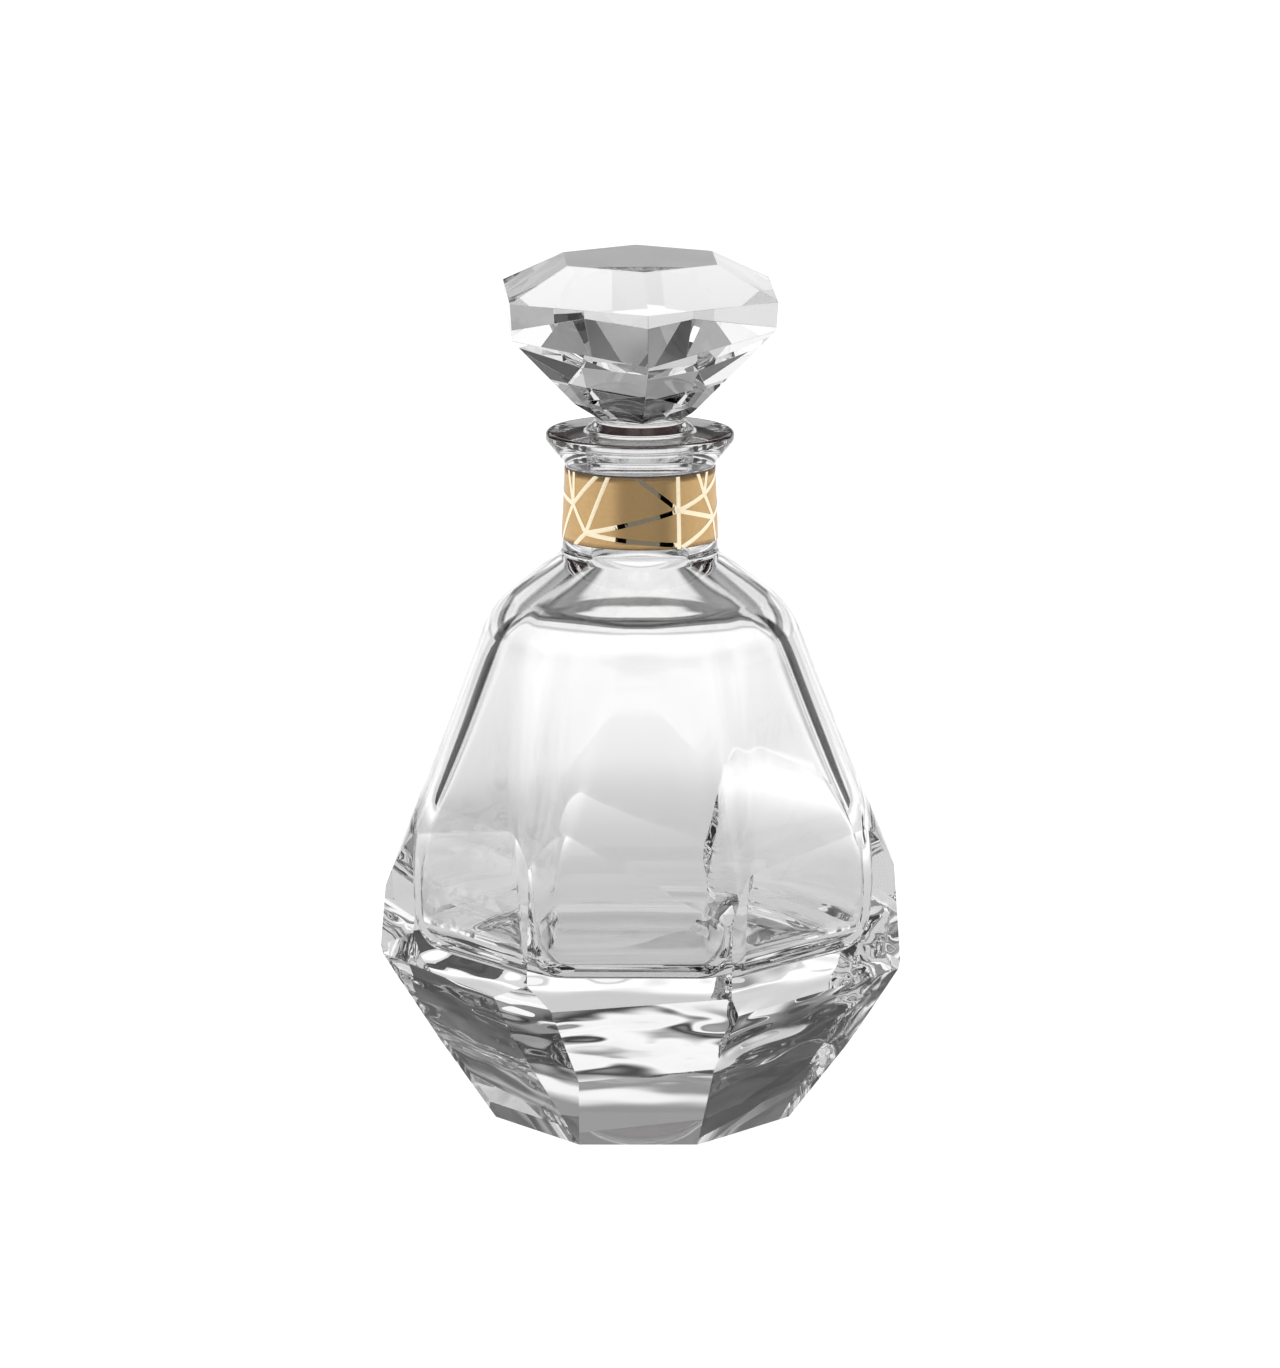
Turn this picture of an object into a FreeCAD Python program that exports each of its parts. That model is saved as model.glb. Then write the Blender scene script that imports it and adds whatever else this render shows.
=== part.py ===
import FreeCAD, Part
import math
import os
import re

# Cut crystal decanter: a six-sided pear-shaped bottle with ground facets at its foot,
# a round neck with a gilded band, and a six-sided gem stopper on a ground peg.
# Frame: origin at the centre of the foot, +Z up, -Y is the front. Millimetres, degrees.

DIMENSIONS = {
    # outer outline of the body: half width at the side corners against height
    "hip_half_width": 77.5,
    "flank_corner_height": 58.8,
    "flank_curve_radius": 60,
    "shoulder_half_width": 43.6,
    "shoulder_height": 149.2,
    "shoulder_curve_radius": 24,
    "neck_base_radius": 22.2,
    "neck_base_height": 165.6,
    "body_top_half_width": 20.8,
    "body_top_height": 166.6,
    # cavity outline
    "cavity_floor_height": 50,
    "cavity_floor_half_width": 58,
    "cavity_floor_round": 13,
    "cavity_belly_half_width": 63,
    "cavity_belly_height": 78,
    "cavity_belly_radius": 60,
    "cavity_shoulder_half_width": 38.2,
    "cavity_shoulder_height": 146,
    "cavity_shoulder_radius": 18,
    "cavity_top_half_width": 12,
    "cavity_top_height": 163,
    # rounding of the six-sided plan, as a share of the half width
    "rounding_hip": 0.15,
    "rounding_shoulder": 0.72,
    "rounding_neck": 0.8,
    # neck, lip and mouth
    "neck_top_radius": 21.2,
    "neck_top_height": 191,
    "lip_radius": 26.9,
    "lip_low_height": 197.6,
    "lip_top_height": 200.4,
    "lip_round": 1.2,
    "mouth_radius": 15.6,
    "socket_low_radius": 14,
    "socket_low_height": 171,
    "neck_root_height": 156,
    "bore_low_height": 152,
    # gilded band
    "band_low_height": 169.6,
    "band_top_height": 190.2,
    "band_low_radius": 22.3,
    "band_top_radius": 21.5,
    "band_bite": 0.6,
    "line_relief": 0.1,
    "line_width": 1.3,
    # grinding wheel that cuts the facets
    "facet_wheel_radius": 160,
    "facet_wheel_depth": 90,
    # stopper
    "table_radius": 24.6,
    "table_height": 250,
    "girdle_radius": 44,
    "girdle_height": 240.7,
    "girdle_slope": 86,
    "stopper_turn": 3,
    "pavilion_slope": 47,
    "culet_slope": 35,
    "culet_reach": 22,
    "culet_height": 212,
    "gem_low_height": 203.5,
    "gem_blank_radius": 48,
    "waist_radius": 12.8,
    "waist_height": 204.6,
    "waist_root_radius": 11.3,
    "waist_root_height": 214,
    "bead_radius": 15.3,
    "bead_height": 200.2,
    "peg_clearance": 0.2,
    "peg_low_height": 173,
}

# Body plan: corner positions as fractions of the half width, anticlockwise from the left.
PLAN_CORNERS = [(-0.985, 0), (-0.45, -0.8), (0.38, -0.8), (1.025, 0), (0.42, 0.8), (-0.4, 0.8)]

# Three tiers of facets, from the foot up. Each has a name, the azimuth of its outward normal,
# its slope from the horizontal (over 90 leans in towards the top), its reach from the axis and
# the height of that reach.
FOOT_FACETS = [
    ("front_left", 212.9, 59.8, 34.1, 0),
    ("front", 270, 55, 36, 0),
    ("front_right", 325.2, 56.8, 34.3, 0),
    ("rear_right", 35, 58, 35.8, 0),
    ("rear", 90, 56, 36, 0),
    ("rear_left", 147, 59, 35.4, 0),
    ("front_left_corner", 227.7, 62.6, 38.3, 0),
]
HIP_FACETS = [
    ("front_left", 213.5, 62.3, 60.6, 46.6),
    ("front", 268, 68.5, 61, 45.3),
    ("front_right", 322.6, 60.3, 59.1, 42.5),
    ("rear_right", 37, 66, 58.8, 46),
    ("rear", 92, 66, 61, 48),
    ("rear_left", 149, 63, 63.4, 49),
]
FLANK_FACETS = [
    ("front_left", 215.5, 93.5, 60.2, 46),
    ("front", 265.5, 95, 61, 46),
    ("front_right", 322, 93, 59.4, 46),
    ("rear_right", 38, 93, 58.2, 46),
    ("rear", 94.5, 93.5, 61, 46),
    ("rear_left", 146, 94, 62.4, 46),
]

TIERS = {"flank": FLANK_FACETS, "hip": HIP_FACETS, "foot": FOOT_FACETS}

# Gem stopper: height of the girdle's lower edge at each corner, from the right-front corner on.
GIRDLE_LOW_HEIGHTS = [232.5, 229, 232, 228, 230, 226]

# Bright lines on the band: angle from the front and share of the band height, at both ends.
BAND_LINES = [
    (-60, 0.56, -35, 1.0), (-60, 0.56, -61, 1.0), (-60, 0.56, -70, 1.0), (-60, 0.56, -44, 0.19),
    (-60, 0.56, -80, 0.0), (-60, 0.56, -128, 0.8), (-44, 0.19, -25, 1.0), (-44, 0.19, 30, 0.53),
    (-44, 0.19, 30, 0.05), (-44, 0.19, -56, 0.0), (-2, 1.0, 30, 0.53), (30, 1.0, 30, 0.0),
    (30, 0.53, 57, 0.7), (30, 0.53, 70, 0.34), (57, 0.7, 50, 1.0), (57, 0.7, 62, 1.0),
    (57, 0.7, 94, 1.0), (57, 0.7, 70, 0.34), (70, 0.34, 33, 0.02), (70, 0.34, 75, 0.0),
    (70, 0.34, 128, 0.75), (94, 1.0, 104, 0.1), (104, 0.1, 148, 1.0), (112, 1.0, 140, 0.02),
    (128, 0.75, 176, 0.2), (148, 1.0, 202, 0.04), (162, 0.0, 190, 1.0), (176, 0.2, 232, 0.8),
    (202, 0.04, 224, 1.0), (232, 0.8, 258, 0.0), (246, 1.0, 272, 0.0),
]

SHEET = "Dimensions"


def make_sheet(doc):
    sheet = doc.addObject("Spreadsheet::Sheet", SHEET)
    cells = dict(DIMENSIONS)
    for tier, facets in TIERS.items():
        for name, azimuth, slope, reach, height in facets:
            cells[f"{tier}_{name}_azimuth"] = azimuth
            cells[f"{tier}_{name}_slope"] = slope
            cells[f"{tier}_{name}_reach"] = reach
            cells[f"{tier}_{name}_height"] = height
    for number, height in enumerate(GIRDLE_LOW_HEIGHTS):
        cells[f"girdle_low_height_{number}"] = height
    for row, (alias, value) in enumerate(cells.items(), start=1):
        sheet.set(f"A{row}", alias)
        sheet.set(f"B{row}", str(value))
        sheet.setAlias(f"B{row}", alias)
    doc.recompute()
    return sheet


def outline_width(height, corners, radii):
    """Half width at a height of a line through the corners, rounded at the inner ones."""
    points = [corners[0]]
    arcs = []
    for before, corner, after, radius in zip(corners, corners[1:], corners[2:], radii):
        incoming = math.atan2(corner[0] - before[0], corner[1] - before[1])
        outgoing = math.atan2(after[0] - corner[0], after[1] - corner[1])
        reach = radius * math.tan(abs(outgoing - incoming) / 2)
        start = (corner[0] - reach * math.sin(incoming), corner[1] - reach * math.cos(incoming))
        end = (corner[0] + reach * math.sin(outgoing), corner[1] + reach * math.cos(outgoing))
        centre = (start[0] - radius * math.cos(incoming), start[1] + radius * math.sin(incoming))
        arcs.append((start[1], end[1], centre, radius))
        points += [start, end]
    points.append(corners[-1])
    for low, high, centre, radius in arcs:
        if low < height < high:
            return centre[0] + math.sqrt(radius ** 2 - (height - centre[1]) ** 2)
    for start, end in zip(points, points[1:]):
        if start[1] <= height <= end[1]:
            return start[0] + (end[0] - start[0]) * (height - start[1]) / (end[1] - start[1])
    raise ValueError(f"height {height} is off the outline")


def rounded_plan(half_width, edge_radius, height):
    """Closed wire of the six-sided plan with rounded corners, as six lines and six arcs."""
    count = len(PLAN_CORNERS)
    left, after_left = (FreeCAD.Vector(x, y, 0) for x, y in PLAN_CORNERS[:2])
    half_turn = (after_left - left).getAngle(FreeCAD.Vector(1, 0, 0))
    grown = half_width + edge_radius * (1 / math.sin(half_turn) - 1)
    corners = [FreeCAD.Vector(x * grown, y * grown, height) for x, y in PLAN_CORNERS]
    starts = []
    ends = []
    middles = []
    for number, corner in enumerate(corners):
        to_before = (corners[number - 1] - corner).normalize()
        to_after = (corners[(number + 1) % count] - corner).normalize()
        half_angle = to_before.getAngle(to_after) / 2
        inward = (to_before + to_after).normalize()
        reach = edge_radius / math.tan(half_angle)
        starts.append(corner + to_before * reach)
        ends.append(corner + to_after * reach)
        middles.append(corner + inward * edge_radius * (1 / math.sin(half_angle) - 1))
    edges = []
    for number in range(count):
        edges.append(Part.Arc(starts[number], middles[number], ends[number]).toShape())
        edges.append(Part.makeLine(ends[number], starts[(number + 1) % count]))
    return Part.Wire(edges)


def edge_radius_at(sheet, height, half_width):
    """Radius of the plan's corners: small at the hip, large at the shoulder, then nearly a circle."""
    rise = (height - sheet.flank_corner_height) / (sheet.shoulder_height - sheet.flank_corner_height)
    share = sheet.rounding_hip + (sheet.rounding_shoulder - sheet.rounding_hip) * min(max(rise, 0), 1)
    rise = (height - sheet.shoulder_height) / (sheet.neck_base_height - sheet.shoulder_height)
    share += (sheet.rounding_neck - sheet.rounding_shoulder) * min(max(rise, 0), 1)
    return share * half_width


def body_form(doc, sheet):
    corners = [
        (sheet.hip_half_width, 0),
        (sheet.hip_half_width, sheet.flank_corner_height),
        (sheet.shoulder_half_width, sheet.shoulder_height),
        (sheet.body_top_half_width, sheet.body_top_height),
    ]
    radii = [sheet.flank_curve_radius, sheet.shoulder_curve_radius]
    heights = [0, 24, 48, 55, 62, 69, 80, 95, 112, 130, 143, 147, 150, 153, 156, 160, 163.5, 166.5]
    wires = []
    for height in heights:
        width = outline_width(height, corners, radii)
        wires.append(rounded_plan(width, edge_radius_at(sheet, height, width), height))
    form = doc.addObject("Part::Feature", "body_form")
    form.Shape = Part.makeLoft(wires, True, False)
    return form


def cavity_form(doc, sheet):
    floor = sheet.cavity_floor_height
    corners = [
        (sheet.cavity_floor_half_width, floor),
        (sheet.cavity_belly_half_width, sheet.cavity_belly_height),
        (sheet.cavity_shoulder_half_width, sheet.cavity_shoulder_height),
        (sheet.cavity_top_half_width, sheet.cavity_top_height),
    ]
    radii = [sheet.cavity_belly_radius, sheet.cavity_shoulder_radius]
    rounding = sheet.cavity_floor_round
    heights = [0, 0.6, 1.8, 3.6, 6, 9, 18, 27, 36, 50, 66, 82, 90, 94, 97, 100, 103, 107, 110, 113]
    wires = []
    for rise in heights:
        height = floor + rise
        width = outline_width(height, corners, radii)
        below = max(rounding - rise, 0)
        width -= rounding - math.sqrt(rounding ** 2 - below ** 2)
        wires.append(rounded_plan(width, edge_radius_at(sheet, height, width), height))
    form = doc.addObject("Part::Feature", "cavity_form")
    form.Shape = Part.makeLoft(wires, True, False)
    return form


def bind(item, **expressions):
    """Bind properties to the sheet: every name of a cell gets the sheet's name before it."""
    for name, text in expressions.items():
        item.setExpression(name.replace("_at_", "."), linked(text))


def linked(text):
    """The expression with the sheet's name put before each cell's alias."""
    words = re.split(r"([A-Za-z_][A-Za-z_0-9]*)", text)
    return "".join(f"{SHEET}.{word}" if "_" in word else word for word in words)


def cone(doc, name, low_radius, top_radius, low_height, top_height):
    shape = doc.addObject("Part::Cone", name)
    bind(shape, Radius1=low_radius, Radius2=top_radius, Height=f"({top_height}) - ({low_height})")
    bind(shape, Placement_at_Base_at_z=low_height)
    return shape


def cylinder(doc, name, radius, low_height, top_height):
    shape = doc.addObject("Part::Cylinder", name)
    bind(shape, Radius=radius, Height=f"({top_height}) - ({low_height})")
    bind(shape, Placement_at_Base_at_z=low_height)
    return shape


def fuse(doc, name, shapes):
    joined = doc.addObject("Part::MultiFuse", name)
    joined.Shapes = shapes
    return joined


def cut(doc, name, base, tool):
    result = doc.addObject("Part::Cut", name)
    result.Base = base
    result.Tool = tool
    return result


def facet(doc, name, blank, azimuth, slope, reach, height):
    """Grind one flat: the wheel's face lies at the reach from the axis and leans by the slope.

    A slope over 90 degrees leans the flat back, so that it faces upwards.
    """
    wheel = doc.addObject("Part::Cylinder", f"{name}_wheel")
    bind(wheel, Radius="facet_wheel_radius", Height="facet_wheel_depth")
    place = f"vector(({reach}) * cos({azimuth}); ({reach}) * sin({azimuth}); {height})"
    turn = f"rotation({azimuth}; 180 - ({slope}); 0)"
    bind(wheel, Placement=f"placement({place}; {turn})")
    return cut(doc, f"{name}_ground", blank, wheel)


def round_edges(doc, name, base, chosen):
    """Round the circular edges that lie at the given heights and radii: (height, radius, rounding)."""
    doc.recompute()
    edges = []
    for number, edge in enumerate(base.Shape.Edges, start=1):
        if not isinstance(edge.Curve, Part.Circle):
            continue
        for height, radius, rounding in chosen:
            level = abs(edge.Curve.Center.z - height) < 0.01
            if level and abs(edge.Curve.Radius - radius) < 0.01:
                edges.append((number, rounding, rounding))
    if len(edges) != len(chosen):
        raise RuntimeError(f"{name}: found {len(edges)} of {len(chosen)} edges to round")
    rounded = doc.addObject("Part::Fillet", name)
    rounded.Base = base
    rounded.Edges = edges
    return rounded


def crystal_bottle(doc, sheet):
    blank = body_form(doc, sheet)
    for tier, facets in TIERS.items():
        for name, *_ in facets:
            key = f"{tier}_{name}"
            blank = facet(doc, key, blank, f"{key}_azimuth", f"{key}_slope", f"{key}_reach", f"{key}_height")
    neck = cone(doc, "neck", "neck_base_radius", "neck_top_radius", "neck_root_height", "neck_top_height")
    throat = cone(doc, "throat", "neck_top_radius", "lip_radius", "neck_top_height", "lip_low_height")
    rim = cylinder(doc, "rim", "lip_radius", "lip_low_height", "lip_top_height")
    rim = round_edges(doc, "rim_rounded", rim, [(sheet.lip_top_height, sheet.lip_radius, sheet.lip_round)])
    outside = fuse(doc, "bottle_outside", [blank, neck, throat, rim])
    bore = cylinder(doc, "bore", "socket_low_radius", "bore_low_height", "socket_low_height")
    socket = cone(doc, "socket", "socket_low_radius", "mouth_radius", "socket_low_height", "lip_top_height")
    inside = fuse(doc, "bottle_inside", [cavity_form(doc, sheet), bore, socket])
    return cut(doc, "crystal_bottle", outside, inside)


def gem_head(doc):
    blank = cylinder(doc, "gem_blank", "gem_blank_radius", "gem_low_height", "table_height")
    half_turn = "cos(30)"
    for number in range(6):
        azimuth = f"stopper_turn + {60 * number}"
        low = f"girdle_low_height_{number}"
        follower = f"girdle_low_height_{(number + 1) % 6}"
        rise = "table_height - girdle_height"
        run = f"(girdle_radius - table_radius) * {half_turn}"
        twist = f"asin(({follower} - {low}) / girdle_radius / tan(pavilion_slope)) / 1 deg"
        side_reach = f"girdle_radius * {half_turn}"
        low_reach = f"{side_reach} - (girdle_height - ({low} + {follower}) / 2) / tan(girdle_slope)"
        blank = facet(doc, f"crown_{number}", blank, azimuth, f"180 - atan(({rise}) / ({run})) / 1 deg",
                      side_reach, "girdle_height")
        blank = facet(doc, f"girdle_{number}", blank, azimuth, "girdle_slope", side_reach, "girdle_height")
        blank = facet(doc, f"pavilion_{number}", blank, f"{azimuth} + {twist}", "pavilion_slope",
                      low_reach, f"({low} + {follower}) / 2")
        blank = facet(doc, f"culet_{number}", blank, azimuth, "culet_slope", "culet_reach", "culet_height")
    return blank


def crystal_stopper(doc, sheet):
    slope = "(mouth_radius - socket_low_radius) / (lip_top_height - socket_low_height)"
    peg_low = f"socket_low_radius + ({slope}) * (peg_low_height - socket_low_height) - peg_clearance"
    peg_top = f"socket_low_radius + ({slope}) * (bead_height - socket_low_height) - peg_clearance"
    peg = cone(doc, "peg", peg_low, peg_top, "peg_low_height", "bead_height")
    bead = cone(doc, "bead", "bead_radius", "waist_radius", "bead_height", "waist_height")
    waist = cone(doc, "waist", "waist_radius", "waist_root_radius", "waist_height", "waist_root_height")
    return fuse(doc, "crystal_stopper", [gem_head(doc), waist, bead, peg])


def gold_band(doc):
    skin = cone(doc, "band_skin", "band_low_radius", "band_top_radius", "band_low_height", "band_top_height")
    core = cone(doc, "band_core", "band_low_radius - band_bite", "band_top_radius - band_bite",
                "band_low_height", "band_top_height")
    return cut(doc, "gold_band", skin, core)


def gold_lines(doc, sheet):
    """Bright strips on the band: each is a thin upright board through the relief layer."""
    low = sheet.band_low_height
    rise = sheet.band_top_height - low
    layer_low = sheet.band_low_radius + sheet.line_relief
    layer_top = sheet.band_top_radius + sheet.line_relief
    layer = Part.makeCone(layer_low, layer_top, rise, FreeCAD.Vector(0, 0, low))
    core = Part.makeCone(sheet.band_low_radius, sheet.band_top_radius, rise, FreeCAD.Vector(0, 0, low))
    layer = layer.cut(core)
    strips = []
    for start_angle, start_share, end_angle, end_share in BAND_LINES:
        half_span = math.radians(end_angle - start_angle) / 2
        radius = (layer_low + layer_top) / 2
        across = 2 * radius * math.sin(half_span)
        up = (end_share - start_share) * rise
        length = math.hypot(across, up)
        board = Part.makeBox(length, 2 * radius, sheet.line_width)
        board.translate(FreeCAD.Vector(-length / 2, -2 * radius, -sheet.line_width / 2))
        board.rotate(FreeCAD.Vector(), FreeCAD.Vector(0, -1, 0), math.degrees(math.atan2(up, across)))
        board.translate(FreeCAD.Vector(0, 0, low + (start_share + end_share) / 2 * rise))
        board.rotate(FreeCAD.Vector(), FreeCAD.Vector(0, 0, 1), (start_angle + end_angle) / 2)
        strips.append(layer.common(board))
    web = strips[0].multiFuse(strips[1:]).removeSplitter()
    lines = doc.addObject("Part::Feature", "gold_band_lines")
    lines.Shape = web
    return lines


def check(doc, parts):
    for item in doc.Objects:
        if "Invalid" in item.State or "Error" in item.State:
            raise RuntimeError(f"{item.Name} failed: {item.State}")
    for part in parts:
        if part.Shape.isNull() or not part.Shape.isValid():
            raise RuntimeError(f"{part.Label} has no valid shape")


def main():
    doc = FreeCAD.newDocument("crystal_decanter")
    sheet = make_sheet(doc)
    parts = [crystal_bottle(doc, sheet), crystal_stopper(doc, sheet), gold_band(doc), gold_lines(doc, sheet)]
    doc.recompute()
    check(doc, parts)
    os.makedirs("parts", exist_ok=True)
    for part in parts:
        part.Label = part.Name
        box = part.Shape.BoundBox
        print(f"{part.Label}: {len(part.Shape.Solids)} solids, {part.Shape.Volume / 1000:.1f} cm3,"
              f" x {box.XMin:.2f}..{box.XMax:.2f} y {box.YMin:.2f}..{box.YMax:.2f}"
              f" z {box.ZMin:.2f}..{box.ZMax:.2f}")
        part.Shape.exportStep(f"parts/{part.Label}.step")
    cavity = doc.getObject("bottle_inside").Shape.Volume
    print(f"cavity to the brim: {cavity / 1000:.0f} cm3")


main()
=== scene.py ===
import math

import bmesh
import bpy
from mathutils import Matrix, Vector


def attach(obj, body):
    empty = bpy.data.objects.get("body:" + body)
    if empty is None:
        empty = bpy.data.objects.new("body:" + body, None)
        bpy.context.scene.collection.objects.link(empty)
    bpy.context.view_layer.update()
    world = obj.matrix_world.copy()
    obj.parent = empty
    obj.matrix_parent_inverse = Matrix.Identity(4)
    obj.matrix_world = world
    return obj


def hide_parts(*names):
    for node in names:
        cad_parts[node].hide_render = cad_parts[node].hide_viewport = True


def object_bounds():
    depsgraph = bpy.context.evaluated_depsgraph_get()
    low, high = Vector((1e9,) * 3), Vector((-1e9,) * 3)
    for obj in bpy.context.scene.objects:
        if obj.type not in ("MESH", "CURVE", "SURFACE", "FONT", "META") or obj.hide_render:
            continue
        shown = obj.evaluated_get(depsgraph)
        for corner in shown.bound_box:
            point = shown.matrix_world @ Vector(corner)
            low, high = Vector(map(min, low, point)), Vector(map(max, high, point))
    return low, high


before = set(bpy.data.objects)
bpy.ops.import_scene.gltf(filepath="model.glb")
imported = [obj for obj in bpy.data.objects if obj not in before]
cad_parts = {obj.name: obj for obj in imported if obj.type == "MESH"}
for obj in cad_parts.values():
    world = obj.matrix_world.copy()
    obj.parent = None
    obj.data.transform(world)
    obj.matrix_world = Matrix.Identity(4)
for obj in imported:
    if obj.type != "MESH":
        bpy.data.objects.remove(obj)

# Cut crystal decanter. The object's lengths are in design millimetres and are turned into metres by
# UNIT, which is worked out from the CAD model's own height, so every piece follows the frame. The
# studio round it is in metres.

cad_low, cad_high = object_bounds()
DESIGN_HEIGHT = 250
UNIT = (cad_high.z - cad_low.z) / DESIGN_HEIGHT

# Bottle plan: corners as fractions of the half width, anticlockwise from the left.
PLAN_CORNERS = [(-0.985, 0), (-0.45, -0.8), (0.38, -0.8), (1.025, 0), (0.42, 0.8), (-0.4, 0.8)]
FLANK_CORNER_HEIGHT = 58.8
SHOULDER_HEIGHT = 149.2
NECK_BASE_HEIGHT = 165.6

# Radius of the plan's rounded corners as a fraction of the half width, at three heights.
ROUNDING_HIP = 0.15
ROUNDING_SHOULDER = 0.72
ROUNDING_NECK = 0.8

# Heights between which the plan turns from six-sided to round.
GLASS_TURNS_ROUND = (SHOULDER_HEIGHT - 6, NECK_BASE_HEIGHT)
CAVITY_TURNS_ROUND = (SHOULDER_HEIGHT - 12, NECK_BASE_HEIGHT - 5)

# Half width, height and corner radius along the glass: from under the foot, up the outside, over
# the lip, down the mouth and round the cavity to the middle of its floor.
OUTLINE = [
    (77.5, -6, 0), (77.5, FLANK_CORNER_HEIGHT, 60), (43.6, SHOULDER_HEIGHT, 24),
    (22.2, NECK_BASE_HEIGHT, 4.5), (21.3, 191, 2.5), (26.9, 198, 1.6), (26.9, 200.4, 1.1),
    (15.6, 200.4, 0.9), (14, 171, 6), (14.2, 161.5, 5), (38.2, 146, 18), (63, 78, 60),
    (58, 50, 13), (0, 49.6, 0),
]

# Ground flats: azimuth of the outward normal, its slope from straight down, reach from the axis,
# height of that reach.
FLANK_FACETS = [
    (215.5, 93.5, 60.2, 46), (265.5, 95, 61, 46), (322, 93, 59.4, 46),
    (38, 93, 58.2, 46), (94.5, 93.5, 61, 46), (146, 94, 62.4, 46),
]
HIP_FACETS = [
    (213.5, 62.3, 60.6, 46.6), (268, 68.5, 61, 45.3), (322.6, 60.3, 59.1, 42.5),
    (37, 66, 58.8, 46), (92, 66, 61, 48), (149, 63, 63.4, 49),
]
FOOT_FACETS = [
    (212.9, 59.8, 34.1, 0), (270, 55, 36, 0), (325.2, 56.8, 34.3, 0),
    (35, 58, 35.8, 0), (90, 56, 36, 0), (147, 59, 35.4, 0), (227.7, 62.6, 38.3, 0),
]
UNDERSIDE = (0, 0, 0, 0)

# How finely the glass is divided: degrees and millimetres along an outline, and points round a
# plan. A corner within CUT_TOLERANCE metres of a cut lies in it.
STEP_ANGLE = 4
STEP_LENGTH = 3.5
CORNER_STEPS = 14
SIDE_STEPS = 10
CUT_TOLERANCE = 1e-7

# Edges between two flats that meet at more than POLISH_ANGLE degrees are rounded off.
EDGE_POLISH = 0.35
POLISH_ANGLE = 2
POLISH_SEGMENTS = 3

# Gem head of the stopper: a block with a crown, girdle, pavilion and culet flat on each side. Each
# girdle corner ends at a height of its own.
GEM_BLANK_WIDTH = 120
GEM_LOW_HEIGHT = 203.5
STOPPER_TURN = 3
TABLE_RADIUS = 24.6
GIRDLE_RADIUS = 44
GIRDLE_HEIGHT = 240.7
GIRDLE_SLOPE = 86
GIRDLE_LOW_HEIGHTS = [232.5, 229, 232, 228, 230, 226]
PAVILION_SLOPE = 47
CULET_SLOPE = 35
CULET_REACH = 22
CULET_HEIGHT = 212

# Waist, bead and ground peg: radius, height and corner radius from inside the gem downwards.
PEG_OUTLINE = [
    (0, 216, 0), (9, 216, 0.5), (12.9, 207, 4), (12.9, 203.5, 1.2), (15.5, 201.2, 1.0),
    (15.2, 198.2, 1), (13.9, 173, 1), (0, 172.8, 0),
]
PEG_STEPS = 128

# Gilded band, a thin cone round the neck that bites into the glass behind it.
BAND_LOW_RADIUS = 22.3
BAND_LOW_HEIGHT = 169.6
BAND_TOP_RADIUS = 21.5
BAND_TOP_HEIGHT = 190.2
BAND_BITE = 0.6
BAND_ROWS = 12
BAND_STEPS = 192

# Bright lines on it: angle from the front and share of the band's height, at both ends. Each line
# stands a hair higher than the one before, so that no two faces lie in one place.
BAND_LINES = [
    (-60, 0.56, -35, 1.0), (-60, 0.56, -61, 1.0), (-60, 0.56, -70, 1.0), (-60, 0.56, -44, 0.19),
    (-60, 0.56, -80, 0.0), (-60, 0.56, -128, 0.8), (-44, 0.19, -25, 1.0), (-44, 0.19, 30, 0.53),
    (-44, 0.19, 30, 0.05), (-44, 0.19, -56, 0.0), (-2, 1.0, 30, 0.53), (30, 1.0, 30, 0.0),
    (30, 0.53, 57, 0.7), (30, 0.53, 70, 0.34), (57, 0.7, 50, 1.0), (57, 0.7, 62, 1.0),
    (57, 0.7, 94, 1.0), (57, 0.7, 70, 0.34), (70, 0.34, 33, 0.02), (70, 0.34, 75, 0.0),
    (70, 0.34, 128, 0.75), (94, 1.0, 104, 0.1), (104, 0.1, 148, 1.0), (112, 1.0, 140, 0.02),
    (128, 0.75, 176, 0.2), (148, 1.0, 202, 0.04), (162, 0.0, 190, 1.0), (176, 0.2, 232, 0.8),
    (202, 0.04, 224, 1.0), (232, 0.8, 258, 0.0), (246, 1.0, 272, 0.0),
]
LINE_WIDTH = 1.3
LINE_RELIEF = 0.06
LINE_SINK = 0.1
LINE_OVERLAP = 0.4
LINE_STEP = 0.8
LINE_STAGGER = 0.0004

# Glass: a faint ripple everywhere, and level waves round the solid base. A scale is per metre, a
# depth is in millimetres, and the waves rise and fade between two pairs of heights.
GLASS_IOR = 1.53
RIPPLE_SCALE = 28
RIPPLE_DEPTH = 0.4
RIPPLE_STRENGTH = 0.25
WAVE_SCALE = 30
WAVE_FLATNESS = 3.2
WAVE_DEPTH = 1.9
WAVE_RISE = (21, 34)
WAVE_FADE = (38, 50)

# Gold: a fine grain that changes the tone, the roughness and the surface a little.
GRAIN_SCALE = 900
GRAIN_DETAIL = 4
GRAIN_DEPTH = 0.05
GRAIN_STRENGTH = 0.15
GRAIN_DARKEST = 0.88
GRAIN_ROUGHNESS = (0.85, 1.15)

# Surroundings: brightness against the sine of the elevation, from the horizon up.
SKY_STEPS = [
    (0.09, 1.0), (0.12, 0.25), (0.15, 0.25), (0.19, 0.03), (0.25, 1.0), (0.34, 0.95), (0.41, 0.28),
    (0.52, 0.42), (0.58, 0.04), (0.66, 0.4), (0.74, 0.35), (0.82, 0.02), (0.93, 0.02), (0.97, 0.9),
]
# Dark uprights in them: azimuth, half width in degrees, depth.
DARK_UPRIGHTS = [
    (157, 8, 0.97), (24, 8, 0.97), (50, 8, 0.97), (131, 9, 0.97), (205, 10, 0.9), (345, 10, 0.9),
]
UPRIGHT_SOFTNESS = 0.3

# Upright cards in front, seen only as reflections: azimuth at both ends, brightness.
CARDS = [(235, 250, 0.0), (250, 299, 0.2), (299, 321, 0.0)]
CARD_DISTANCE = 0.8
CARD_HEIGHT = 0.4
CARD_STEPS = 8

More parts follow.
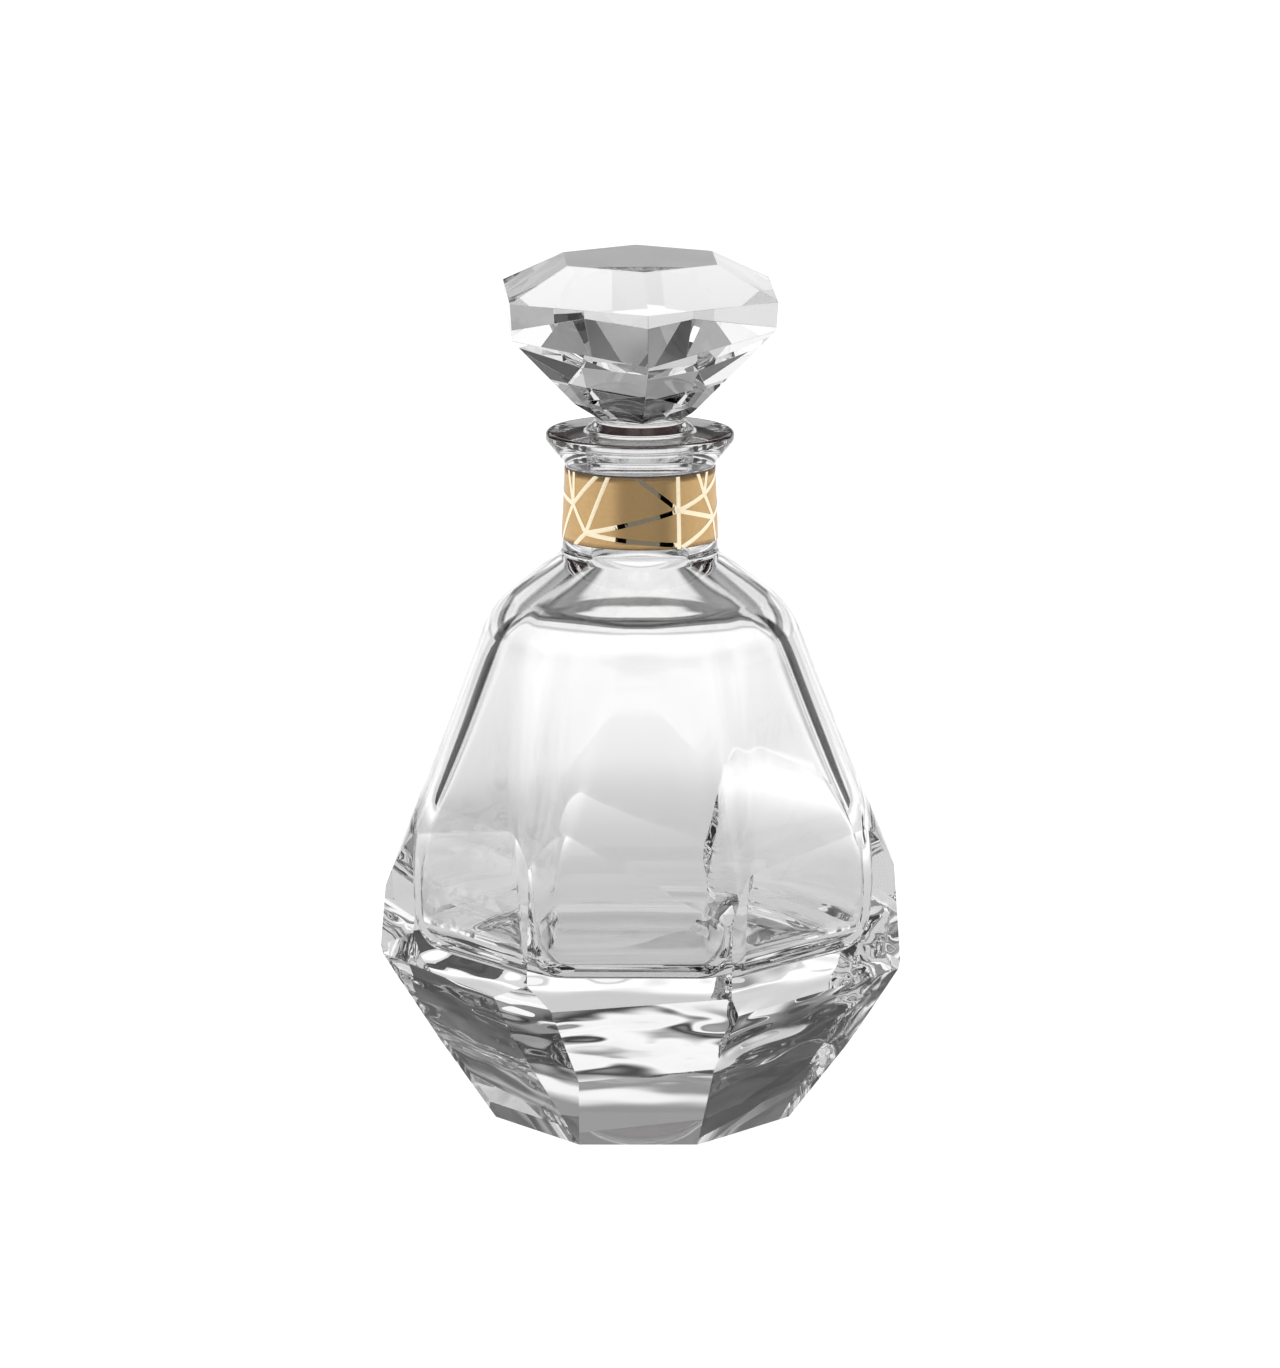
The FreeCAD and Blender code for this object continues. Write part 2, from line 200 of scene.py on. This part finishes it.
# Floor: it glows more from near to far and less again towards its edge. A glow that changes goes
# from the first distance to the second.
FLOOR_RADIUS = 8
FLOOR_SEGMENTS = 96
FLOOR_DROP = 0.0002
FLOOR_GREY = 0.85
FLOOR_GLOW_NEAR = 0.42
FLOOR_GLOW_FAR = 0.95
FLOOR_GLOW_EDGE = 0.5
FLOOR_GLOW_SEEN = 0.95
FLOOR_RISE = (0.2, 0.85)
FLOOR_FADE = (1.2, 2.4)

# Camera: elevation in degrees, distance and reach in metres, and in design millimetres the height
# that it aims at and the height of what it takes in. The sensor is in millimetres.
CAMERA_ELEVATION = 10.8
CAMERA_DISTANCE = 4.6
CAMERA_REACH = 60
AIM_HEIGHT = 126.8
VIEW_HEIGHT = 390.9
SENSOR_SIZE = 36

# How often light is followed through glass, off gold and through clear surfaces.
GLASS_BOUNCES = 24
GOLD_BOUNCES = 12
CLEAR_BOUNCES = 16


def add_straight(path, end):
    """Continue the path to the end in even steps."""
    start = path[-1]
    steps = max(1, math.ceil((end - start).length / STEP_LENGTH))
    for step in range(1, steps + 1):
        path.append(start.lerp(end, step / steps))


def swing(start, end, turn, share):
    """An arm of an arc, a share of the way from its first arm to its last."""
    angle = turn * share
    return (start * math.sin(turn - angle) + end * math.sin(angle)) / math.sin(turn)


def rounded_path(corners):
    """Points along a line through the corners, with an arc of the given radius at each inner one."""
    path = [Vector(corners[0][:2])]
    for before, corner, after in zip(corners, corners[1:], corners[2:]):
        point = Vector(corner[:2])
        radius = corner[2]
        incoming = (point - Vector(before[:2])).normalized()
        outgoing = (Vector(after[:2]) - point).normalized()
        turn = incoming.angle(outgoing)
        reach = radius * math.tan(turn / 2)
        start = point - incoming * reach
        end = point + outgoing * reach
        centre = point + (outgoing - incoming).normalized() * (radius / math.cos(turn / 2))
        add_straight(path, start)
        steps = max(2, math.ceil(math.degrees(turn) / STEP_ANGLE))
        for step in range(1, steps + 1):
            path.append(centre + swing(start - centre, end - centre, turn, step / steps))
    add_straight(path, Vector(corners[-1][:2]))
    return path


def arms_at(corners, number):
    """Directions from a corner of a closed outline to the corners before and after it."""
    corner = corners[number]
    follower = corners[(number + 1) % len(corners)]
    return (corners[number - 1] - corner).normalized(), (follower - corner).normalized()


def rounded_plan(half_width, edge_radius):
    """Points round the plan, which is grown first so that its rounding doesn't narrow it."""
    unit_corners = [Vector(corner) for corner in PLAN_CORNERS]
    to_before, to_after = arms_at(unit_corners, 0)
    half_angle = to_before.angle(to_after) / 2
    grown = half_width + edge_radius * (1 / math.sin(half_angle) - 1)
    corners = [corner * grown for corner in unit_corners]
    arcs = []
    for number, corner in enumerate(corners):
        to_before, to_after = arms_at(corners, number)
        half_angle = to_before.angle(to_after) / 2
        centre = corner + (to_before + to_after).normalized() * (edge_radius / math.sin(half_angle))
        start = corner + to_before * (edge_radius / math.tan(half_angle)) - centre
        end = corner + to_after * (edge_radius / math.tan(half_angle)) - centre
        turn = math.pi - 2 * half_angle
        shares = [step / CORNER_STEPS for step in range(CORNER_STEPS + 1)]
        arcs.append([centre + swing(start, end, turn, share) for share in shares])
    points = []
    for arc, follower in zip(arcs, arcs[1:] + arcs[:1]):
        points += arc
        for step in range(1, SIDE_STEPS):
            points.append(arc[-1].lerp(follower[0], step / SIDE_STEPS))
    return points


def smooth(low, high, value):
    """A smooth change from 0 to 1 while the value goes from low to high."""
    share = min(max((value - low) / (high - low), 0), 1)
    return share * share * (3 - 2 * share)


def ring_at(half_width, height, inside):
    """One ring of the bottle: six-sided below the shoulder, round at the neck."""
    rise = smooth(FLANK_CORNER_HEIGHT, SHOULDER_HEIGHT, height)
    low, high = CAVITY_TURNS_ROUND if inside else GLASS_TURNS_ROUND
    roundness = smooth(low, high, height)
    rounding = ROUNDING_HIP + (ROUNDING_SHOULDER - ROUNDING_HIP) * rise
    rounding += (ROUNDING_NECK - ROUNDING_SHOULDER) * roundness
    ring = []
    for point in rounded_plan(half_width, rounding * half_width):
        circle = point.normalized() * half_width
        mixed = point.lerp(circle, roundness)
        ring.append(Vector((mixed.x, mixed.y, height)) * UNIT)
    return ring


def turned_point(radius, angle, height):
    """A point at that radius from the axis, in metres."""
    return Vector((radius * math.cos(angle), radius * math.sin(angle), height)) * UNIT


def turned_ring(mesh, radius, height, steps):
    """A circle of new corners about the axis."""
    angles = [2 * math.pi * step / steps for step in range(steps)]
    return [mesh.verts.new(turned_point(radius, angle, height)) for angle in angles]


def skin(mesh, rings, rounded=True):
    """Faces between each ring and the next, as one list for each pair."""
    strips = []
    for low, high in zip(rings, rings[1:]):
        strip = []
        for number in range(len(low)):
            follower = (number + 1) % len(low)
            corners = (low[number], low[follower], high[follower], high[number])
            strip.append(mesh.faces.new(corners))
            strip[-1].smooth = rounded
        strips.append(strip)
    return strips


def close_ring(mesh, ring, height):
    """A fan of smooth faces from the ring to a point on the axis."""
    middle = mesh.verts.new((0, 0, height * UNIT))
    for number in range(len(ring)):
        follower = (number + 1) % len(ring)
        mesh.faces.new((ring[number], ring[follower], middle)).smooth = True


def grind(mesh, azimuth, slope, reach, height):
    """Cut one facet and close it with a flat face."""
    turn = math.radians(azimuth)
    lean = math.radians(slope)
    outward = Vector((math.cos(turn), math.sin(turn), 0))
    normal = outward * math.sin(lean) - Vector((0, 0, math.cos(lean)))
    point = (outward * reach + Vector((0, 0, height))) * UNIT
    everything = mesh.verts[:] + mesh.edges[:] + mesh.faces[:]
    bmesh.ops.bisect_plane(mesh, geom=everything, plane_co=point, plane_no=normal, clear_outer=True,
                           dist=CUT_TOLERANCE)
    rim = [edge for edge in mesh.edges if edge.is_boundary]
    if rim:
        filled = bmesh.ops.edgeloop_fill(mesh, edges=rim)
        for face in filled["faces"]:
            face.smooth = False


def polish_edges(mesh):
    """Take the sharpness off the edges between two ground flats."""
    edges = []
    for edge in mesh.edges:
        flat = all(not face.smooth for face in edge.link_faces)
        if flat and edge.calc_face_angle(0) > math.radians(POLISH_ANGLE):
            edges.append(edge)
    polished = bmesh.ops.bevel(mesh, geom=edges, offset=EDGE_POLISH * UNIT, offset_type="OFFSET",
                               segments=POLISH_SEGMENTS, profile=0.5, affect="EDGES",
                               clamp_overlap=True)
    for face in polished["faces"]:
        face.smooth = True


def bottle_mesh():
    """The hollow bottle: rings along its outline, with the flats ground into it."""
    path = rounded_path(OUTLINE)
    lip = max(range(len(path)), key=lambda number: path[number].y)
    mesh = bmesh.new()
    rings = []
    for number, (half_width, height) in enumerate(path[:-1]):
        points = ring_at(half_width, height, number > lip)
        rings.append([mesh.verts.new(point) for point in points])
    skin(mesh, rings)
    close_ring(mesh, rings[-1], path[-1].y)
    mesh.faces.new(list(reversed(rings[0])))
    for facet in FLANK_FACETS + HIP_FACETS + FOOT_FACETS + [UNDERSIDE]:
        grind(mesh, *facet)
    polish_edges(mesh)
    return mesh


def gem_mesh():
    """The stopper's gem head: a block ground to four tiers of flats and a table."""
    mesh = bmesh.new()
    bmesh.ops.create_cube(mesh, size=1)
    middle = (DESIGN_HEIGHT + GEM_LOW_HEIGHT) / 2
    depth = DESIGN_HEIGHT - GEM_LOW_HEIGHT
    for vert in mesh.verts:
        across = Vector((vert.co.x, vert.co.y, 0)) * GEM_BLANK_WIDTH
        vert.co = (across + Vector((0, 0, middle + vert.co.z * depth))) * UNIT
    sides = len(GIRDLE_LOW_HEIGHTS)
    side_share = math.cos(math.pi / sides)
    side_reach = GIRDLE_RADIUS * side_share
    crown_rise = DESIGN_HEIGHT - GIRDLE_HEIGHT
    crown_run = (GIRDLE_RADIUS - TABLE_RADIUS) * side_share
    crown_slope = 180 - math.degrees(math.atan2(crown_rise, crown_run))
    for number, low in enumerate(GIRDLE_LOW_HEIGHTS):
        follower = GIRDLE_LOW_HEIGHTS[(number + 1) % sides]
        azimuth = STOPPER_TURN + 360 / sides * number
        lean = (follower - low) / GIRDLE_RADIUS / math.tan(math.radians(PAVILION_SLOPE))
        twist = math.degrees(math.asin(lean))
        middle_low = (low + follower) / 2
        low_reach = side_reach - (GIRDLE_HEIGHT - middle_low) / math.tan(math.radians(GIRDLE_SLOPE))
        grind(mesh, azimuth, crown_slope, side_reach, GIRDLE_HEIGHT)
        grind(mesh, azimuth, GIRDLE_SLOPE, side_reach, GIRDLE_HEIGHT)
        grind(mesh, azimuth + twist, PAVILION_SLOPE, low_reach, middle_low)
        grind(mesh, azimuth, CULET_SLOPE, CULET_REACH, CULET_HEIGHT)
    polish_edges(mesh)
    return mesh


def peg_mesh():
    """The stopper's waist, bead and ground peg, turned about the axis."""
    path = rounded_path(PEG_OUTLINE)
    mesh = bmesh.new()
    rings = [turned_ring(mesh, radius, height, PEG_STEPS) for radius, height in path[1:-1]]
    skin(mesh, rings)
    close_ring(mesh, rings[0], path[0].y)
    close_ring(mesh, rings[-1], path[-1].y)
    return mesh


def band_radius(share):
    """Radius of the gilding at a share of the band's height."""
    return BAND_LOW_RADIUS + (BAND_TOP_RADIUS - BAND_LOW_RADIUS) * share


def band_height(share):
    """Height at a share of the band's height."""
    return BAND_LOW_HEIGHT + (BAND_TOP_HEIGHT - BAND_LOW_HEIGHT) * share


def unrolled(angle, share):
    """A point of the unrolled band, at an angle from the front and a share of the band's height."""
    return Vector((math.radians(angle) * band_radius(0.5), band_height(share)))


def band_mesh():
    """The gilded band. Its outside has the first material, its back, bottom and top the second."""
    mesh = bmesh.new()
    outline = [(BAND_LOW_RADIUS - BAND_BITE, BAND_LOW_HEIGHT)]
    for row in range(BAND_ROWS + 1):
        share = row / BAND_ROWS
        outline.append((band_radius(share), band_height(share)))
    outline.append((BAND_TOP_RADIUS - BAND_BITE, BAND_TOP_HEIGHT))
    rings = [turned_ring(mesh, radius, height, BAND_STEPS) for radius, height in outline]
    strips = skin(mesh, rings + rings[:1])
    for face in strips[0] + strips[-2] + strips[-1]:
        face.material_index = 1
    return mesh


def line_section(mesh, spot, across, stagger):
    """Four new corners across a line, at a spot of the unrolled band."""
    section = []
    lifts = ((-1, -LINE_SINK), (1, -LINE_SINK), (1, LINE_RELIEF), (-1, LINE_RELIEF))
    for side, lift in lifts:
        flat = spot + across * side
        height = min(max(flat.y, BAND_LOW_HEIGHT), BAND_TOP_HEIGHT)
        share = (height - BAND_LOW_HEIGHT) / (BAND_TOP_HEIGHT - BAND_LOW_HEIGHT)
        angle = flat.x / band_radius(0.5) - math.pi / 2
        section.append(mesh.verts.new(turned_point(band_radius(share) + lift + stagger, angle, height)))
    return section


def lines_mesh():
    """The bright lines, as thin bars wrapped round the band."""
    mesh = bmesh.new()
    for order, (start_angle, start_share, end_angle, end_share) in enumerate(BAND_LINES):
        start = unrolled(start_angle, start_share)
        end = unrolled(end_angle, end_share)
        along = (end - start).normalized()
        across = Vector((-along.y, along.x)) * (LINE_WIDTH / 2)
        start -= along * LINE_OVERLAP
        end += along * LINE_OVERLAP
        steps = math.ceil((end - start).length / LINE_STEP)
        sections = []
        for step in range(steps + 1):
            spot = start.lerp(end, step / steps)
            sections.append(line_section(mesh, spot, across, order * LINE_STAGGER))
        skin(mesh, sections, rounded=False)
        mesh.faces.new(sections[0])
        mesh.faces.new(list(reversed(sections[-1])))
    return mesh


def plain_object(name, mesh):
    """An object in the scene, made of the mesh with its faces turned outwards."""
    bmesh.ops.recalc_face_normals(mesh, faces=mesh.faces[:])
    data = bpy.data.meshes.new(name)
    mesh.to_mesh(data)
    mesh.free()
    item = bpy.data.objects.new(name, data)
    bpy.context.scene.collection.objects.link(item)
    return item


def new_piece(name, mesh, body, replaced):
    """A visible piece that rides on a body and stands for a CAD node."""
    piece = plain_object(name, mesh)
    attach(piece, body)
    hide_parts(replaced)
    return piece


def unite(piece, other):
    """Join another closed object to the piece and take the other one away."""
    modifier = piece.modifiers.new("unite", "BOOLEAN")
    modifier.operation = "UNION"
    modifier.solver = "EXACT"
    modifier.object = other
    bpy.context.view_layer.update()
    graph = bpy.context.evaluated_depsgraph_get()
    joined = bpy.data.meshes.new_from_object(piece.evaluated_get(graph))
    old = piece.data
    piece.modifiers.clear()
    piece.data = joined
    bpy.data.meshes.remove(old)
    bpy.data.objects.remove(other)


def maths(tree, operation, *values):
    """A Math node's result, from numbers and other nodes' outputs."""
    node = tree.nodes.new("ShaderNodeMath")
    node.operation = operation
    for socket, value in zip(node.inputs, values):
        if isinstance(value, (int, float)):
            socket.default_value = value
        else:
            tree.links.new(value, socket)
    return node.outputs[0]


def between(tree, value, low, high, first=0, last=1):
    """A smooth change from the first number to the last while the value goes from low to high."""
    node = tree.nodes.new("ShaderNodeMapRange")
    node.interpolation_type = "SMOOTHSTEP"
    node.inputs["From Min"].default_value = low
    node.inputs["From Max"].default_value = high
    node.inputs["To Min"].default_value = first
    node.inputs["To Max"].default_value = last
    tree.links.new(value, node.inputs["Value"])
    return node.outputs["Result"]


def noise(tree, vector, scale, detail):
    """A noise texture's value at the vector."""
    node = tree.nodes.new("ShaderNodeTexNoise")
    node.inputs["Scale"].default_value = scale
    node.inputs["Detail"].default_value = detail
    tree.links.new(vector, node.inputs["Vector"])
    return node.outputs["Fac"]


def bump(tree, height, depth, strength, normal=None):
    """A bumped normal, on top of another one if it is given. The depth is in design millimetres."""
    node = tree.nodes.new("ShaderNodeBump")
    node.inputs["Strength"].default_value = strength
    node.inputs["Distance"].default_value = depth * UNIT
    tree.links.new(height, node.inputs["Height"])
    if normal:
        tree.links.new(normal, node.inputs["Normal"])
    return node.outputs["Normal"]


def new_material(name):
    """A new material, its node tree and its shader."""
    material = bpy.data.materials.new(name)
    material.use_nodes = True
    return material, material.node_tree, material.node_tree.nodes["Principled BSDF"]


def glass_material(name):
    """Clear crystal with a faint ripple, and with stronger level waves round the solid base."""
    material, tree, shader = new_material(name)
    shader.inputs["Base Color"].default_value = (1, 1, 1, 1)
    shader.inputs["Roughness"].default_value = 0
    shader.inputs["IOR"].default_value = GLASS_IOR
    shader.inputs["Transmission Weight"].default_value = 1
    place = tree.nodes.new("ShaderNodeTexCoord").outputs["Object"]
    ripple = noise(tree, place, RIPPLE_SCALE, 1)
    rippled = bump(tree, ripple, RIPPLE_DEPTH, RIPPLE_STRENGTH)

    flatten = tree.nodes.new("ShaderNodeVectorMath")
    flatten.operation = "MULTIPLY"
    flatten.inputs[1].default_value = (1, 1, WAVE_FLATNESS)
    tree.links.new(place, flatten.inputs[0])
    waves = noise(tree, flatten.outputs["Vector"], WAVE_SCALE, 1)
    split = tree.nodes.new("ShaderNodeSeparateXYZ")
    tree.links.new(place, split.inputs["Vector"])
    height = split.outputs["Z"]
    rise = between(tree, height, WAVE_RISE[0] * UNIT, WAVE_RISE[1] * UNIT)
    fade = between(tree, height, WAVE_FADE[0] * UNIT, WAVE_FADE[1] * UNIT, 1, 0)
    swell = maths(tree, "MULTIPLY", waves, maths(tree, "MULTIPLY", rise, fade))
    tree.links.new(bump(tree, swell, WAVE_DEPTH, 1, rippled), shader.inputs["Normal"])
    return material


def gold_material(name, colour, roughness):
    """Metal of that colour with a fine grain."""
    material, tree, shader = new_material(name)
    shader.inputs["Metallic"].default_value = 1
    place = tree.nodes.new("ShaderNodeTexCoord").outputs["Object"]
    grain = noise(tree, place, GRAIN_SCALE, GRAIN_DETAIL)
    tone = tree.nodes.new("ShaderNodeMix")
    tone.data_type = "RGBA"
    tone.inputs["A"].default_value = (*colour, 1)
    tone.inputs["B"].default_value = (*[channel * GRAIN_DARKEST for channel in colour], 1)
    spread = tree.nodes.new("ShaderNodeMapRange")
    spread.inputs["To Min"].default_value = roughness * GRAIN_ROUGHNESS[0]
    spread.inputs["To Max"].default_value = roughness * GRAIN_ROUGHNESS[1]
    tree.links.new(grain, tone.inputs["Factor"])
    tree.links.new(grain, spread.inputs["Value"])
    tree.links.new(tone.outputs["Result"], shader.inputs["Base Color"])
    tree.links.new(spread.outputs["Result"], shader.inputs["Roughness"])
    tree.links.new(bump(tree, grain, GRAIN_DEPTH, GRAIN_STRENGTH), shader.inputs["Normal"])
    return material


def glowing_material(name, grey, strength):
    """A dull grey that also glows white."""
    material, _, shader = new_material(name)
    shader.inputs["Base Color"].default_value = (grey, grey, grey, 1)
    shader.inputs["Roughness"].default_value = 0.9
    shader.inputs["Specular IOR Level"].default_value = 0
    shader.inputs["Emission Color"].default_value = (1, 1, 1, 1)
    shader.inputs["Emission Strength"].default_value = strength
    return material


def world_light():
    """Soft light all round, in rings of white and grey that dark uprights cross. The camera sees white."""
    world = bpy.data.worlds.new("studio")
    bpy.context.scene.world = world
    world.use_nodes = True
    tree = world.node_tree
    coordinates = tree.nodes.new("ShaderNodeTexCoord")
    split = tree.nodes.new("ShaderNodeSeparateXYZ")
    tree.links.new(coordinates.outputs["Generated"], split.inputs["Vector"])
    light = SKY_STEPS[0][1]
    for (low, lower), (high, higher) in zip(SKY_STEPS, SKY_STEPS[1:]):
        change = between(tree, split.outputs["Z"], low, high, 0, higher - lower)
        light = maths(tree, "ADD", change, light)
    azimuth = maths(tree, "ARCTAN2", split.outputs["Y"], split.outputs["X"])
    for centre, half_width, depth in DARK_UPRIGHTS:
        offset = maths(tree, "SUBTRACT", azimuth, math.radians(centre))
        distance = maths(tree, "ABSOLUTE", maths(tree, "WRAP", offset, math.pi, -math.pi))
        inner = math.radians(half_width) * (1 - UPRIGHT_SOFTNESS)
        outer = math.radians(half_width) * (1 + UPRIGHT_SOFTNESS)
        light = maths(tree, "MULTIPLY", light, between(tree, distance, inner, outer, 1 - depth, 1))
    path = tree.nodes.new("ShaderNodeLightPath")
    light = maths(tree, "MAXIMUM", light, path.outputs["Is Camera Ray"])
    background = tree.nodes["Background"]
    background.inputs["Color"].default_value = (1, 1, 1, 1)
    tree.links.new(light, background.inputs["Strength"])


def front_cards():
    """Curved cards on the floor in front of the object, which the camera doesn't see."""
    for number, (start, end, brightness) in enumerate(CARDS):
        mesh = bmesh.new()
        columns = []
        for step in range(CARD_STEPS + 1):
            angle = math.radians(start + (end - start) * step / CARD_STEPS)
            foot = Vector((math.cos(angle), math.sin(angle), 0)) * CARD_DISTANCE
            columns.append((mesh.verts.new(foot), mesh.verts.new(foot + Vector((0, 0, CARD_HEIGHT)))))
        for (low, high), (next_low, next_high) in zip(columns, columns[1:]):
            mesh.faces.new((low, next_low, next_high, high))
        card = plain_object(f"card_{number}", mesh)
        card.data.materials.append(glowing_material(f"card_grey_{number}", 0, brightness))
        card.visible_camera = False


def floor_piece():
    """A pale floor. The camera sees its plain glow, and the glass sees how it changes with distance."""
    mesh = bmesh.new()
    bmesh.ops.create_circle(mesh, cap_ends=True, segments=FLOOR_SEGMENTS, radius=FLOOR_RADIUS)
    floor = plain_object("floor", mesh)
    floor.location.z = -FLOOR_DROP
    material = glowing_material("pale_floor", FLOOR_GREY, 1)
    tree = material.node_tree
    place = tree.nodes.new("ShaderNodeNewGeometry")
    length = tree.nodes.new("ShaderNodeVectorMath")
    length.operation = "LENGTH"
    tree.links.new(place.outputs["Position"], length.inputs[0])
    distance = length.outputs["Value"]
    rise = between(tree, distance, *FLOOR_RISE, FLOOR_GLOW_NEAR, FLOOR_GLOW_FAR)
    fade = between(tree, distance, *FLOOR_FADE, 0, FLOOR_GLOW_EDGE - FLOOR_GLOW_FAR)
    path = tree.nodes.new("ShaderNodeLightPath")
    seen = maths(tree, "MULTIPLY", path.outputs["Is Camera Ray"], FLOOR_GLOW_SEEN)
    glow = maths(tree, "MAXIMUM", maths(tree, "ADD", rise, fade), seen)
    tree.links.new(glow, tree.nodes["Principled BSDF"].inputs["Emission Strength"])
    floor.data.materials.append(material)


def camera():
    """A long lens in front of the object and a little above it."""
    elevation = math.radians(CAMERA_ELEVATION)
    aim = Vector((0, 0, AIM_HEIGHT * UNIT))
    data = bpy.data.cameras.new("camera")
    data.sensor_fit = "AUTO"
    data.sensor_width = SENSOR_SIZE
    data.lens = SENSOR_SIZE * CAMERA_DISTANCE / (VIEW_HEIGHT * UNIT)
    data.clip_end = CAMERA_REACH
    item = bpy.data.objects.new("camera", data)
    bpy.context.scene.collection.objects.link(item)
    towards_camera = Vector((0, -math.cos(elevation), math.sin(elevation)))
    item.location = aim + towards_camera * CAMERA_DISTANCE
    item.rotation_euler = (aim - item.location).to_track_quat("-Z", "Y").to_euler()
    bpy.context.scene.camera = item


def render_look():
    """Plain colours, and enough bounces for light to pass through all the glass."""
    scene = bpy.context.scene
    scene.view_settings.view_transform = "Standard"
    scene.cycles.max_bounces = GLASS_BOUNCES
    scene.cycles.transmission_bounces = GLASS_BOUNCES
    scene.cycles.glossy_bounces = GOLD_BOUNCES
    scene.cycles.transparent_max_bounces = CLEAR_BOUNCES
    scene.cycles.caustics_reflective = True
    scene.cycles.caustics_refractive = True


camera()
floor_piece()
front_cards()
world_light()
render_look()
clear = glass_material("clear_crystal")
satin = gold_material("satin_gold", (0.80, 0.53, 0.25), 0.38)
backing = gold_material("band_backing", (0.16, 0.1, 0.1), 0.35)
bright = gold_material("bright_gold", (1.0, 0.88, 0.64), 0.06)

bottle = new_piece("bottle_crystal", bottle_mesh(), "bottle", "crystal_bottle")
bottle.data.materials.append(clear)
stopper = new_piece("stopper_crystal", gem_mesh(), "stopper", "crystal_stopper")
unite(stopper, plain_object("peg", peg_mesh()))
stopper.data.materials.clear()
stopper.data.materials.append(clear)
band = new_piece("band_gilding", band_mesh(), "bottle", "gold_band")
band.data.materials.append(satin)
band.data.materials.append(backing)
lines = new_piece("band_bright_lines", lines_mesh(), "bottle", "gold_band_lines")
lines.data.materials.append(bright)
